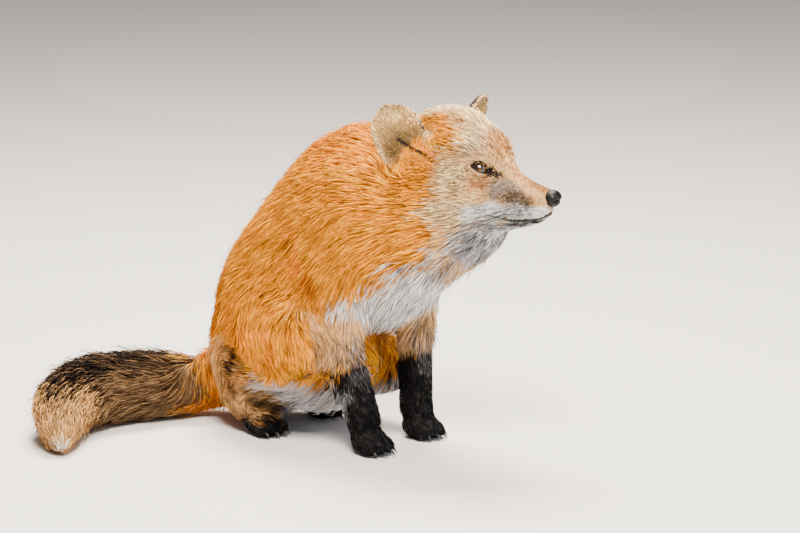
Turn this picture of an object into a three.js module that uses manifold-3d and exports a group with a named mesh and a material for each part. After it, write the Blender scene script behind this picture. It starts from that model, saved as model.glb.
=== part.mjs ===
// A red fox, life size, crouched on its haunches, its forelegs straight and its tail swept round to its
// right. Millimetres. +X is the way the fox faces, +Y its left and +Z up. While it is shaped, the origin is
// on the floor midway between the forepaws. Every solid reaches out to the tips of the coat.
import * as THREE from "three";
import { mergeVertices } from "three/addons/utils/BufferGeometryUtils.js";
import Module from "manifold-3d";

const wasm = await Module();
wasm.setup();

// ---- driving dimensions -------------------------------------------------
const GAP = 0.4; // kept between neighbouring solids
const STANCE = 43.5; // forepaws, each side of the midline
const HIND_STANCE = 48; // hind paws, each side of the midline
const HIND_SETBACK = 145; // hind paws behind the forepaws
const NOSE = [196, 22, 290]; // tip of the nose
const HEAD_TURN = 8; // degrees to the fox's left
const EYE = { back: 82, side: 23.5, rise: 24, radius: 9.8 }; // from the nose tip
const NOSE_PAD = { long: 7.5, wide: 9.2, high: 8.6 };
// The mouth's level under the nose tip, its rise forwards in degrees and its corner behind the nose tip.
const MOUTH = { level: -24.5, tilt: 1.5, corner: 79 };
const TAIL_RADIUS = 41;
const COLOURS = {
  rust: 0xc8691f,
  amber: 0xd9822b,
  cream: 0xd8c3a0,
  white: 0xe4e1dc,
  smoke: 0x8e7a68,
  black: 0x1c1b20,
  eye: 0x4a2f18,
  nose: 0x17171b,
};
const ROUGHNESS = { eye: 0.08, nose: 0.42 };

// ---- shaping ------------------------------------------------------------
const v3 = (x, y, z) => new THREE.Vector3(x, y, z);
const degrees = THREE.MathUtils.degToRad;
const joined = (...solids) => wasm.Manifold.union(solids);

// A closed geometry whose vertices are moved by place(vertex), welded and made a solid.
function warped(geometry, place) {
  for (const name of ["normal", "uv"]) geometry.deleteAttribute(name);
  const position = geometry.getAttribute("position");
  const point = new THREE.Vector3();
  for (let i = 0; i < position.count; i++) {
    place(point.fromBufferAttribute(position, i));
    position.setXYZ(i, point.x, point.y, point.z);
  }
  const welded = mergeVertices(geometry, 1e-3);
  const index = welded.index.array;
  const kept = [];
  for (let i = 0; i < index.length; i += 3) {
    const [a, b, c] = [index[i], index[i + 1], index[i + 2]];
    if (a !== b && b !== c && c !== a) kept.push(a, b, c);
  }
  const vertProperties = new Float32Array(welded.getAttribute("position").array);
  const build = (triVerts) =>
    new wasm.Manifold(new wasm.Mesh({ numProp: 3, vertProperties, triVerts: new Uint32Array(triVerts) }));
  const made = build(kept);
  if (made.volume() > 0) return made;
  return build(kept.map((_, i) => kept[i - (i % 3) + [0, 2, 1][i % 3]]));
}

// A tube along a spine. A station is [x, y, z, wide, up, down, pitch]: the spine's point, the section's reach
// to each side, to its upper (on an upright run its rear) side and to the opposite side, and the degrees by
// which the section's axis rises forwards. Without a pitch, sections stand square to the spine. keep is the
// share of the run that is made, swell adds to every reach and both ends, and a run that bends sideways is
// levelled by the vertical.
function tube(stations, { around = 10, along = 5, keep = [0, 1], bends = false, swell = 0 }) {
  const curve = (first) => {
    const points = stations.map((s) => v3(s[first], s[first + 1], s[first + 2]));
    return new THREE.CatmullRomCurve3(points, false, "centripetal");
  };
  const [spine, reach] = [curve(0), curve(3)];
  const pitchAt = (t) => {
    const at = t * (stations.length - 1);
    const [before, after] = [Math.floor(at), Math.ceil(at)].map((i) => stations[i][6]);
    return degrees(THREE.MathUtils.lerp(before, after, at % 1));
  };
  return warped(new THREE.CylinderGeometry(1, 1, 1, around, along), (p) => {
    const t = THREE.MathUtils.lerp(keep[0], keep[1], p.y + 0.5);
    const size = reach.getPoint(t);
    const pitch = pitchAt(t);
    const forward = Number.isNaN(pitch) ? spine.getTangent(t) : v3(Math.cos(pitch), 0, Math.sin(pitch));
    const across = bends ? v3(0, 0, 1).cross(forward) : v3(0, 1, 0).projectOnPlane(forward);
    const upper = forward.clone().cross(across.normalize());
    const lift = p.z > 0 ? size.y : size.z;
    const [lateral, vertical] = [p.x * (size.x + swell), p.z * (lift + swell)];
    const stretch = Math.abs(p.y) > 0.49 ? Math.sign(p.y) * swell : 0;
    p.copy(spine.getPoint(t)).addScaledVector(across, lateral).addScaledVector(upper, vertical);
    p.addScaledVector(forward, stretch);
  });
}

// An ellipsoid of the given half sizes, turned about the vertical and then pitched nose down, in degrees.
function mass(centre, [long, wide, high], { turn = 0, pitch = 0, swell = 0, fine = 12 } = {}) {
  const turned = new THREE.Matrix4()
    .makeRotationFromEuler(new THREE.Euler(0, degrees(pitch), degrees(turn), "ZYX"))
    .setPosition(...centre);
  return warped(new THREE.SphereGeometry(1, fine, Math.round(fine * 0.66)), (p) =>
    p.multiply(v3(long + swell, wide + swell, high + swell)).applyMatrix4(turned),
  );
}

const block = (size, centre) => warped(new THREE.BoxGeometry(...size), (p) => p.add(v3(...centre)));
const underFloor = block([1200, 1200, 100], [0, 0, -50]);

// One share of a long run, with its part of the rings.
const share = (stations, [from, to], rings, options) =>
  tube(stations, { along: Math.round((to - from) * rings), keep: [from, to], ...options });

// ---- trunk and neck -----------------------------------------------------
// One run from the seat, upright at first, over the arched back to the ruff behind the jaw.
const TRUNK = [
  [-184, 0, 6, 26, 22, 26, 90],
  [-182, 0, 24, 50, 44, 44, 88],
  [-178, 0, 56, 62, 58, 56, 80],
  [-168, 0, 96, 70, 71, 62, 66],
  [-146, 0, 136, 73, 87, 70, 54],
  [-112, 0, 176, 75, 89, 84, 46],
  [-72, 0, 212, 77, 99, 112, 40],
  [-26, 0, 246, 81, 106, 112, 32],
  [24, 1, 268, 80, 84, 100, 22],
  [58, 4, 272, 70, 58, 86, 14],
  [88, 8, 262, 60, 32, 60, 8],
  [110, 11, 252, 48, 14, 44, 4],
  [126, 13, 244, 16, 6, 16, 0],
];
const TRUNK_SHARES = { rump: [0, 0.35], loin: [0.35, 0.5], chest: [0.5, 0.68], neck: [0.68, 1] };
const trunkPart = (name) => (swell) =>
  share(TRUNK, TRUNK_SHARES[name], 16, { around: 14, swell }).subtract(underFloor);
const belly = (swell) => mass([-112, 0, 78], [82, 58, 60], { swell, fine: 10 });

// ---- head ---------------------------------------------------------------
// Shaped nose to +X with the nose tip at the origin, then turned and set in place.
// A station is [behind the nose tip, top, bottom, half width, level of the widest point].
const HEAD = [
  [9, 4, -17, 9.5, -7],
  [13, 7, -24, 13.5, -11],
  [20, 8.5, -30, 16, -13],
  [31, 12, -35, 17.5, -12],
  [45, 19, -39, 20, -8],
  [57, 29, -43, 24, -4],
  [68, 43, -47, 30, 3],
  [80, 58, -51, 37, 8],
  [94, 71, -56, 45, 11],
  [110, 80, -62, 51, 12],
  [130, 84, -68, 55, 13],
  [150, 81, -72, 54, 14],
  [170, 70, -70, 48, 14],
  [188, 46, -56, 32, 8],
  [196, 18, -34, 12, 0],
];
const headRun = HEAD.map(([back, top, bottom, wide, level]) => {
  return [-back, 0, level, wide, top - level, level - bottom, 0];
}).reverse();
// The cheek's ruff on each side, from behind the mouth's corner to under the ear.
const cheekRun = (s) => [
  [-188, s * 30, -18, 8, 12, 14, 0],
  [-168, s * 35, -16, 25, 34, 34, 0],
  [-142, s * 39, -14, 32, 42, 44, 0],
  [-116, s * 37, -16, 28, 36, 40, 0],
  [-96, s * 30, -20, 20, 24, 28, 0],
  [-81, s * 24, -24, 9, 10, 12, 0],
];
const intoBody = new THREE.Matrix4().makeRotationZ(degrees(HEAD_TURN)).setPosition(...NOSE);
const placed = (made) => made.transform(intoBody.elements);
// Each eye lies in a socket that opens forwards and to its side.
const socket = (s, swell) =>
  mass([4 - EYE.back, s * (EYE.side + 8), EYE.rise], [17, 9, 8.5], { turn: -s * 35, swell: -swell });
const headMass = (swell) =>
  joined(
    tube(headRun, { around: 14, along: 14, swell }),
    ...[-1, 1].map((s) => tube(cheekRun(s), { around: 10, along: 5, swell })),
  ).subtract(joined(socket(-1, swell), socket(1, swell)));
// The closed mouth is a thin cut: the lower jaw is what lies under it, back to the mouth's corner.
const underMouth = (swell) =>
  warped(new THREE.BoxGeometry(MOUTH.corner + 40 + swell, 200, 100), (p) =>
    p
      .add(v3(20 - MOUTH.corner / 2 - swell / 2, 0, swell - 50))
      .applyAxisAngle(v3(0, 1, 0), -degrees(MOUTH.tilt))
      .add(v3(0, 0, MOUTH.level)),
  );
const muzzleBlock = (swell) => block([110, 200, 300], [-13 - swell, 0, 0]);
const head = (swell) => placed(headMass(swell));
const muzzle = (swell) => placed(headMass(swell).intersect(muzzleBlock(swell)));
const lowerJaw = (swell) => placed(headMass(swell).intersect(underMouth(swell)));
const eye = (s) => (swell) => {
  const { back, side, rise, radius } = EYE;
  return placed(mass([-back, s * side, rise], [radius, radius, radius], { swell, fine: 9 }));
};
const nosePad = (swell) => {
  const { long, wide, high } = NOSE_PAD;
  return placed(mass([-7.5, 0, -3.5], [long, wide, high], { swell, pitch: 12, fine: 9 }));
};

// ---- ears ---------------------------------------------------------------
// A cupped leaf: root and tip of its midrib, and the way the cup faces, in the head's frame.
const EARS = {
  ear_right: { root: v3(-147, -44, 26), tip: v3(-162, -77, 90), faces: v3(0.55, -0.8, 0) },
  ear_left: { root: v3(-140, 44, 26), tip: v3(-131, 84, 78), faces: v3(0.9, 0.3, 0) },
};
const EAR = { wide: 30, cup: 17, thick: 5 };
const ear = ({ root, tip, faces }) => (swell) => {
  const rib = tip.clone().sub(root);
  const out = faces.clone().projectOnPlane(rib.clone().normalize()).normalize();
  const across = rib.clone().cross(out).normalize();
  return placed(
    warped(new THREE.BoxGeometry(2, 1, 1, 6, 7, 1), (p) => {
      const u = Math.sin((p.y + 0.5) * Math.PI * 0.5);
      const half = EAR.wide * (0.8 + 0.32 * u) * Math.sqrt(1.002 - u ** 3.2) + swell;
      const wall = p.z * (EAR.thick * (1 - 0.5 * u * u) + 5 * swell);
      const deep = EAR.cup * (1 - p.x * p.x) * (1 - 0.6 * u) + wall;
      const [side, rise] = [p.x * half, u + (2 * p.y * swell) / rib.length()];
      p.copy(root).addScaledVector(rib, rise).addScaledVector(across, side).addScaledVector(out, -deep);
    }),
  );
};

// ---- legs ---------------------------------------------------------------
// The forelegs stand straight. lean carries the elbow forward and feather is the longer hair behind the leg.
const forelegRuns = (s, lean, feather) => ({
  upper: [
    [-22 + lean * 0.6, s * 38, 264, 16, 22, 24],
    [-22 + lean * 0.6, s * 46, 236, 29, 38, 41],
    [-31 + lean * 0.7, s * 51, 196, 31, 37, 41],
    [-42 + lean * 0.8, s * 50, 158, 28, 30 + feather, 30],
    [-42 + lean * 0.8, s * 49, 138, 25, 24 + feather, 27],
  ],
  lower: [
    [-42 + lean * 0.8, s * 49, 138, 25, 24 + feather, 27],
    [-36.5 + lean * 0.7, s * 47, 108, 21, 21 + feather, 22],
    [-24 + lean * 0.45, s * 45.5, 73, 18.5, 19.5 + feather, 20],
    [-12 + lean * 0.15, s * STANCE, 43, 18.5, 19 + feather * 0.4, 20],
    [-5.5, s * STANCE, 27, 19, 19, 20],
  ],
});

// The crouch folds each hind leg: the knee beside the belly, the hock behind and low, the foot under the
// haunch.
const hindlegRuns = (s, knee) => ({
  thigh: [
    [-190, s * 30, 150, 12, 18, 18],
    [-172, s * 44, 147, 30, 46, 42],
    [-134, s * 57, 128, 36, 56, 54],
    [-96, s * 65, knee + 6, 33, 48, 42],
    [-62, s * 68, knee, 25, 35, 33],
    [-42, s * 68, knee - 2, 14, 20, 20],
    [-34, s * 68, knee - 3, 2, 3, 3],
  ],
  shank: [
    [-74, s * 64, knee - 22, 14, 14, 16],
    [-112, s * 61, knee * 0.5 + 24, 22, 24, 26],
    [-150, s * 57, 76, 22, 26, 26],
    [-184, s * 52, 78, 19, 22, 22],
    [-204, s * 50, 82, 8, 9, 9],
  ],
  foot: [
    [-204, s * 50, 106, 4, 4, 5],
    [-199, s * 50, 90, 14, 16, 17],
    [-185, s * 49.5, 56, 18, 20, 22],
    [-168, s * 49, 31, 18, 18, 19],
    [-158, s * HIND_STANCE, 19, 17.5, 16, 17],
  ],
});
const legPart = (stations, rings) => (swell) => tube(stations, { ...rings, swell });

// A paw on the floor: its palm, four toes and their claws. turn is the way it points, long stretches it.
const TOES = [-15, -5.2, 5.2, 15];
const paw = ([x, y], turn, long) => (swell) => {
  const upright = v3(0, 0, 1);
  const at = (ahead, aside, z) =>
    v3(ahead, aside, 0).applyAxisAngle(upright, degrees(turn)).add(v3(x, y, z));
  const toes = TOES.flatMap((aside) => {
    const ahead = long - Math.abs(aside) * 0.6;
    return [
      mass(at(22 + ahead, aside, 9.5), [13, 7.2, 10.5], { turn, swell, fine: 5 }),
      mass(at(34 + ahead, aside, 5.5), [5.5, 1.6, 2.4], { turn, pitch: 25, swell, fine: 4 }),
    ];
  });
  const palm = mass(at(2 + long * 0.4, 0, 14), [23 + long * 0.6, 21, 17], { turn, swell, fine: 7 });
  return joined(palm, ...toes).subtract(underFloor);
};

// ---- tail ---------------------------------------------------------------
// It leaves the rump low, sweeps round to the fox's right and rests on the floor all the way.
const TAIL = [
  [-196, 10, 60, 20, 20, 18],
  [-226, 2, 46, 31, 32, 34],
  [-256, -32, 40, 37.5, 38, 39.5],
  [-287, -80, 40, 40, 40, 41.5],
  [-308, -128, 41, TAIL_RADIUS, TAIL_RADIUS, 42.5],
  [-307, -172, 39, 38.5, 38, 40.5],
  [-290, -207, 33, 31, 31, 34.5],
  [-269, -232, 26, 23, 22, 27.5],
  [-251, -250, 19, 13, 12, 19],
  [-241, -260, 14, 2, 3, 5],
];
const TAIL_SHARES = { tail_base: [0, 0.3], tail_middle: [0.3, 0.62], tail_tip: [0.62, 1] };
const tailPart = (name) => (swell) =>
  share(TAIL, TAIL_SHARES[name], 14, { around: 12, bends: true, swell }).subtract(underFloor);

// ---- assembly -----------------------------------------------------------
// Each solid gives way, by the gap, to those before it.
const pieces = [
  ["nose", "nose", nosePad],
  ["eye_right", "eye", eye(-1)],
  ["eye_left", "eye", eye(1)],
  ["lower_jaw", "white", lowerJaw],
  ["muzzle", "cream", muzzle],
  ["head", "cream", head],
  ["ear_right", "smoke", ear(EARS.ear_right)],
  ["ear_left", "smoke", ear(EARS.ear_left)],
];
const SIDES = {
  right: { s: -1, lean: 0, feather: 5, knee: 108 },
  left: { s: 1, lean: 35, feather: 0, knee: 64 },
};
for (const [side, { s, lean, feather, knee }] of Object.entries(SIDES)) {
  const fore = forelegRuns(s, lean, feather);
  const hind = hindlegRuns(s, knee);
  pieces.push(
    [`forepaw_${side}`, "black", paw([-3, s * STANCE], s * 4, 0)],
    [`forearm_${side}`, "black", legPart(fore.lower)],
    [`upper_arm_${side}`, "amber", legPart(fore.upper)],
    [`hind_paw_${side}`, "black", paw([-HIND_SETBACK, s * HIND_STANCE], s * 8, 2)],
    [`hind_foot_${side}`, "smoke", legPart(hind.foot)],
    [`shank_${side}`, "cream", legPart(hind.shank)],
    [`thigh_${side}`, "rust", legPart(hind.thigh, { around: 12, along: 6 })],
  );
}
for (const name of Object.keys(TRUNK_SHARES).reverse()) {
  pieces.push([name, name === "neck" || name === "chest" ? "amber" : "rust", trunkPart(name)]);
}
pieces.push(["belly", "white", belly]);
const TAIL_COATS = { tail_base: "rust", tail_middle: "smoke", tail_tip: "cream" };
for (const name of Object.keys(TAIL_SHARES)) pieces.push([name, TAIL_COATS[name], tailPart(name)]);

const materials = {};
for (const [name, color] of Object.entries(COLOURS)) {
  materials[name] = new THREE.MeshStandardMaterial({ name, color, roughness: ROUGHNESS[name] ?? 0.85 });
}
const fox = new THREE.Group();
let taken = null;
for (const [name, material, make] of pieces) {
  const made = taken ? make(0).subtract(taken) : make(0);
  const largest = made.decompose().sort((a, b) => b.volume() - a.volume())[0];
  const { vertProperties, triVerts } = largest.getMesh();
  const geometry = new THREE.BufferGeometry()
    .setAttribute("position", new THREE.BufferAttribute(vertProperties, 3))
    .setIndex(new THREE.BufferAttribute(triVerts, 1));
  const mesh = new THREE.Mesh(geometry, materials[material]);
  mesh.name = name;
  fox.add(mesh);
  taken = taken ? taken.add(make(GAP)) : make(GAP);
}

// The origin ends on the floor under the middle of the whole.
const middle = new THREE.Box3().setFromObject(fox).getCenter(v3(0, 0, 0));
fox.position.set(-middle.x, -middle.y, 0);

export default fox;
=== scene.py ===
"""A red fox, life size, sitting on its haunches: its skin, eyes, nose, lips, claws, coat and whiskers."""
import math

import bmesh
import bpy
import numpy as np
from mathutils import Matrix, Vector, noise
from mathutils.bvhtree import BVHTree
from mathutils.kdtree import KDTree


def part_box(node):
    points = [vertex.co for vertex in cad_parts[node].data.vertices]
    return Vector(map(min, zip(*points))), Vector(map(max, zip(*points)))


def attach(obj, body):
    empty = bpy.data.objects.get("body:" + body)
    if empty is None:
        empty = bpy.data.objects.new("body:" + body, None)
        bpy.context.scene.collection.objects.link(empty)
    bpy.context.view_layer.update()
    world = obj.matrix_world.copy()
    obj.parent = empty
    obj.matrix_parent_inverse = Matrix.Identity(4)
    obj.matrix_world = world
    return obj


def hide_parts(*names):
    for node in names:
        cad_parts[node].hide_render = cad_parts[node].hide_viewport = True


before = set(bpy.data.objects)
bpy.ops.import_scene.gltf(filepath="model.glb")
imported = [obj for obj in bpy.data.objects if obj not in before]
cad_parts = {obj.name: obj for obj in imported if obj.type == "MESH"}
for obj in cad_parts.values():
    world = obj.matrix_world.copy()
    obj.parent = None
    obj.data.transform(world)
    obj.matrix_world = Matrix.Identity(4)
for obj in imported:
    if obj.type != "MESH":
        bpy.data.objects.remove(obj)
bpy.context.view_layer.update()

scene = bpy.context.scene
# One seed for the draws, and for where the noise that hairs wander by starts, which is the clock otherwise.
SEED = 7
rng = np.random.default_rng(SEED)
noise.seed_set(SEED)

# ---- the view ----
# The fox is seen from its right front, a little above its eyes, on a plain pale floor under soft studio
# lamps. Lengths are millimetres in the fox's own frame: +X forward, +Y to its left, and the origin on the
# floor midway between the forepaws.
NOSE_TIP = np.array([196.0, 22.0, 290.0])
HEAD_TURN = math.radians(8)
EYE = {"back": 82.0, "side": 23.5, "rise": 24.0, "radius": 9.8}
HEAD_AXES = np.array([
    [math.cos(HEAD_TURN), math.sin(HEAD_TURN), 0],
    [-math.sin(HEAD_TURN), math.cos(HEAD_TURN), 0],
    [0, 0, 1],
])


def from_head(points):
    """Points given from the nose tip, along the head's own axes, in the fox's frame."""
    return np.asarray(points, float) @ HEAD_AXES + NOSE_TIP


def in_head(points):
    return (points - NOSE_TIP) @ HEAD_AXES.T


def one_side(points):
    """The points with the left side's and the right side's laid over each other."""
    return points * (1, 0, 1) + np.abs(points) * (0, 1, 0)


def unit(vectors):
    vectors = np.asarray(vectors, float)
    return vectors / (np.linalg.norm(vectors, axis=-1, keepdims=True) + 1e-9)


def along_surface(vectors, normals):
    """Directions, turned to lie along the surface."""
    return unit(vectors - normals * (vectors * normals).sum(1, keepdims=True))


def eased(values, start, end):
    """0 at start and 1 at end, with a soft turn at both."""
    share = np.clip((np.asarray(values, float) - start) / (end - start), 0, 1)
    return share * share * (3 - 2 * share)


lowest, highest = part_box("eye_right")
eye_in_row = np.array((lowest + highest) / 2) * 1000
SHIFT = eye_in_row - from_head([-EYE["back"], -EYE["side"], EYE["rise"]])


def to_row(points):
    """Millimetres in the fox's frame to metres in the model's."""
    return (np.asarray(points, float) + SHIFT) / 1000


def linear(hex_colour):
    """An sRGB hex colour, turned linear."""
    channels = [(hex_colour >> shift & 255) / 255 for shift in (16, 8, 0)]
    return np.array([c / 12.92 if c <= 0.04045 else ((c + 0.055) / 1.055) ** 2.4 for c in channels])


VIEW = {"azimuth": 38, "elevation": 12, "distance": 4500, "target": (6.35, -0.5, 195), "across": 840}
azimuth, elevation = math.radians(VIEW["azimuth"]), math.radians(VIEW["elevation"])
outward = np.array([
    math.sin(azimuth) * math.cos(elevation), -math.cos(azimuth) * math.cos(elevation), math.sin(elevation)
])
lens = bpy.data.cameras.new("camera")
lens.sensor_width = 36
lens.lens = lens.sensor_width * VIEW["distance"] / VIEW["across"]


def in_scene(name, data):
    """A new object of the scene, with its data."""
    item = bpy.data.objects.new(name, data)
    scene.collection.objects.link(item)
    return item


def mesh_of(name, bm):
    """A new mesh of what a bmesh holds. The bmesh is let go."""
    mesh = bpy.data.meshes.new(name)
    bm.to_mesh(mesh)
    bm.free()
    return mesh


camera = in_scene("camera", lens)
camera.location = to_row(np.array(VIEW["target"]) + outward * VIEW["distance"])
camera.rotation_euler = Vector(outward).to_track_quat("Z", "Y").to_euler()
scene.camera = camera


def new_material(name):
    material = bpy.data.materials.new(name)
    material.use_nodes = True
    material.node_tree.nodes.clear()
    return material


def add(material, kind, settings=None, **links):
    """One node with its settings and, by input name or number, its values and links."""
    node = material.node_tree.nodes.new(kind)
    for key, value in (settings or {}).items():
        setattr(node, key, value)
    for key, value in links.items():
        socket = node.inputs[int(key[1:]) if key[1:].isdigit() else key.replace("_", " ")]
        if isinstance(value, bpy.types.NodeSocket):
            material.node_tree.links.new(value, socket)
        else:
            socket.default_value = (*value, 1.0) if socket.type == "RGBA" else value
    return node


def surfaced(material, **inputs):
    """Gives a material its one surface, with these inputs."""
    shader = add(material, "ShaderNodeBsdfPrincipled", **inputs)
    add(material, "ShaderNodeOutputMaterial", Surface=shader.outputs[0])


# Seamless paper, pale and without shine, that gives the eye nothing but the fox's shadow.
FLOOR = {"colour": 0xd9d7d3, "half": 6}
floor_bm = bmesh.new()
bmesh.ops.create_grid(floor_bm, x_segments=1, y_segments=1, size=FLOOR["half"])
floor = in_scene("floor", mesh_of("floor", floor_bm))
matt = new_material("matt_studio_paper")
surfaced(matt, Base_Color=linear(FLOOR["colour"]), Roughness=0.9)
floor.data.materials.append(matt)

LAMPS = {
    "key": {"place": (800, -1100, 1900), "size": 700, "power": 155, "colour": 0xfff3e2},
    "rim": {"place": (-500, 500, 1900), "size": 900, "power": 150, "colour": 0xfff6ea},
    "fill": {"place": (1400, 200, 700), "size": 1400, "power": 18, "colour": 0xe8f0ff},
}
LAMPS_AIM = 180
SKY = {"colour": 0xeef1f5, "strength": 0.32}
for name, lamp in LAMPS.items():
    light = bpy.data.lights.new(name, "AREA")
    light.size = lamp["size"] / 1000
    light.energy = lamp["power"]
    light.color = linear(lamp["colour"])
    holder = in_scene(name, light)
    holder.location = to_row(lamp["place"])
    aim = np.array(lamp["place"]) - (0, 0, LAMPS_AIM)
    holder.rotation_euler = Vector(aim).to_track_quat("Z", "Y").to_euler()
world = bpy.data.worlds.new("studio")
world.use_nodes = True
sky = world.node_tree.nodes["Background"].inputs
sky["Color"].default_value = (*linear(SKY["colour"]), 1)
sky["Strength"].default_value = SKY["strength"]
scene.world = world

# ---- the lie of the coat ----
# The coat runs along streams, as a groomer combs it: from the nose back over the crown and down the back,
# from the lips back over the cheeks, down the legs and along the tail. Each point of a stream has its place,
# the hair's length there and the depth of the coat.
HEAD_STREAMS = [
    # over the muzzle, the brow and the crown to the nape
    [(-9, 0, 5, 2.5, 0.8), (-30, 0, 12, 4, 1.2), (-50, 0, 24, 6, 1.8), (-66, 0, 43, 11, 4),
     (-92, 0, 74, 17, 7), (-122, 0, 90, 22, 9), (-155, 0, 84, 26, 9), (-180, 0, 62, 32, 10)],
    # along the side of the muzzle, under the eye and over the cheek
    [(-14, 12, -8, 3, 0.9), (-35, 17, -10, 4, 1.2), (-58, 24, -6, 5, 1.6), (-82, 36, 2, 7, 2.2),
     (-105, 50, 4, 12, 3.5), (-130, 62, 2, 20, 6), (-160, 62, -6, 30, 9)],
    # from the stop over the brow to the front of the ear
    [(-62, 13, 30, 6, 1.8), (-74, 20, 50, 12, 5), (-96, 32, 64, 16, 6.5), (-122, 42, 66, 16, 6),
     (-140, 44, 62, 14, 5)],
    # from the eye's rear corner to under the ear
    [(-92, 34, 26, 6, 2), (-110, 46, 28, 10, 3.2), (-132, 55, 28, 14, 5), (-152, 58, 22, 20, 7)],
    # along the upper lip and into the cheek's ruff
    [(-12, 9, -19, 3, 0.9), (-35, 16, -21, 4.5, 1.2), (-60, 22, -22, 6, 1.6), (-85, 36, -24, 12, 3.5),
     (-110, 54, -28, 22, 6), (-140, 68, -32, 34, 10), (-172, 66, -38, 40, 12)],
    # along the chin and the jaw to the throat
    [(-14, 4, -26, 3, 0.9), (-40, 6, -38, 5, 1.4), (-66, 6, -44, 9, 2.4), (-92, 8, -54, 22, 6),
     (-122, 8, -66, 36, 11)],
    [(-30, 13, -31, 3.5, 1), (-60, 19, -38, 7, 1.8), (-88, 32, -48, 16, 5), (-118, 48, -58, 30, 9),
     (-150, 58, -66, 38, 12)],
]
EARS = {
    -1: {"root": (-147, -44, 26), "tip": (-162, -77, 90), "faces": (0.55, -0.8, 0)},
    1: {"root": (-140, 44, 26), "tip": (-131, 84, 78), "faces": (0.9, 0.3, 0)},
}
TRUNK_STREAMS = [
    # the back, from the nape to the seat
    [(84, 8, 296, 32, 10), (44, 4, 328, 36, 12), (-7, 0, 346, 38, 12), (-82, 0, 336, 38, 12),
     (-136, 0, 288, 38, 12), (-176, 0, 238, 38, 12), (-216, 0, 187, 38, 12), (-233, 0, 125, 38, 12),
     (-235, 0, 66, 36, 12), (-225, 0, 30, 30, 10)],
    # the upper side
    [(72, 52, 290, 34, 11), (30, 68, 300, 38, 12), (-30, 72, 295, 38, 12), (-85, 70, 262, 38, 12),
     (-135, 70, 215, 38, 12), (-178, 66, 160, 38, 12), (-208, 58, 100, 36, 12), (-205, 45, 45, 30, 10)],
    # the neck's side, over the shoulder to the upper arm
    [(72, 62, 255, 36, 11), (38, 74, 240, 38, 12), (5, 80, 222, 36, 11), (-18, 80, 195, 32, 10),
     (-30, 78, 165, 26, 8)],
    # behind the shoulder, over the flank
    [(-20, 84, 250, 38, 12), (-55, 84, 215, 38, 12), (-85, 84, 180, 38, 12), (-105, 88, 150, 34, 11)],
    # the throat, the chest and the belly
    [(122, 10, 232, 34, 11), (108, 10, 208, 40, 13), (84, 6, 186, 42, 14), (60, 2, 170, 44, 14),
     (34, 0, 148, 44, 14), (4, 0, 122, 42, 13), (-28, 0, 92, 34, 11), (-55, 0, 55, 34, 10),
     (-100, 0, 20, 34, 10), (-150, 0, 24, 30, 9)],
    [(112, 36, 240, 36, 11), (88, 46, 212, 42, 13), (60, 50, 186, 44, 14), (30, 46, 160, 44, 14),
     (6, 40, 134, 42, 13)],
    [(-40, 42, 95, 32, 10), (-75, 52, 58, 36, 10), (-115, 50, 42, 36, 10), (-160, 46, 45, 30, 9)],
]
TAIL_STREAM = [
    (-205, 8, 60, 36, 11), (-226, 2, 48, 40, 12), (-256, -32, 40, 44, 15), (-287, -80, 40, 46, 16),
    (-308, -128, 41, 46, 16), (-307, -172, 39, 46, 15), (-290, -207, 33, 42, 12), (-269, -232, 26, 36, 9),
    (-251, -250, 18, 26, 6), (-243, -259, 13, 16, 3),
]
LEANS = {-1: 0, 1: 35}
KNEES = {-1: 108, 1: 64}


def leg_streams(s):
    """The streams of the legs of one side, -1 for right and 1 for left, as if all were on the left."""
    lean, knee = LEANS[s], KNEES[s]
    fore = [
        (-24 + lean * 0.6, 50, 236, 36, 11), (-31 + lean * 0.7, 52, 196, 30, 9),
        (-42 + lean * 0.8, 50, 158, 24, 7), (-42 + lean * 0.8, 49, 138, 18, 5.5),
        (-36 + lean * 0.7, 47, 108, 12, 4), (-24 + lean * 0.45, 45.5, 73, 8, 3),
        (-12 + lean * 0.15, 43.5, 43, 7, 2.6), (-4, 43.5, 24, 6, 2.2), (12, 43.5, 14, 5, 1.8),
        (32, 43.5, 6, 4, 1.4),
    ]
    thigh = [
        (-135, 100, 195, 38, 11), (-122, 106, 160, 36, 11), (-108, 106, knee * 0.4 + 85, 34, 10),
        (-94, 102, knee * 0.6 + 32, 32, 9), (-84, 92, knee * 0.8 - 20, 28, 8),
    ]
    knee_front = [(-60, 70, knee + 36, 30, 8), (-38, 70, knee + 8, 24, 6),
                  (-48, 70, knee - 24, 22, 5)]
    shank = [
        (-84, 64, knee - 20, 22, 6), (-112, 61, knee * 0.5 + 24, 20, 5.5), (-150, 57, 76, 16, 5),
        (-184, 52, 78, 12, 4),
    ]
    foot = [
        (-201, 50, 96, 14, 4), (-196, 50, 76, 12, 4), (-185, 49.5, 56, 9, 3.2),
        (-168, 49, 31, 7, 2.6), (-154, 48, 19, 6, 2.2), (-138, 48, 13, 5, 1.8),
        (-116, 48, 6, 4, 1.4),
    ]
    return [fore, thigh, knee_front, shank, foot]


def ear_streams(ear):
    """Up the ear from its root, along the middle and both edges."""
    root, tip = np.array(ear["root"], float), np.array(ear["tip"], float)
    rib = tip - root
    across = np.cross(rib, ear["faces"])
    across /= np.linalg.norm(across)
    return [
        [(*(root + rib * up + across * side * (1 - 0.3 * up)), hair, 1.1)
         for up, hair in ((0, 9), (0.35, 8), (0.7, 6), (1, 5))]
        for side in (-24, 0, 24)
    ]


def sampled(stream, spacing=8):
    """Points every few millimetres along a stream, as rows of place, direction, length and depth."""
    stream = np.array(stream, float)
    rows = []
    for here, there in zip(stream[:-1], stream[1:]):
        run = there[:3] - here[:3]
        distance = np.linalg.norm(run)
        for share in np.arange(0, 1, spacing / distance):
            mixed = here + (there - here) * share
            rows.append([*mixed[:3], *(run / distance), *mixed[3:]])
    return rows


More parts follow.
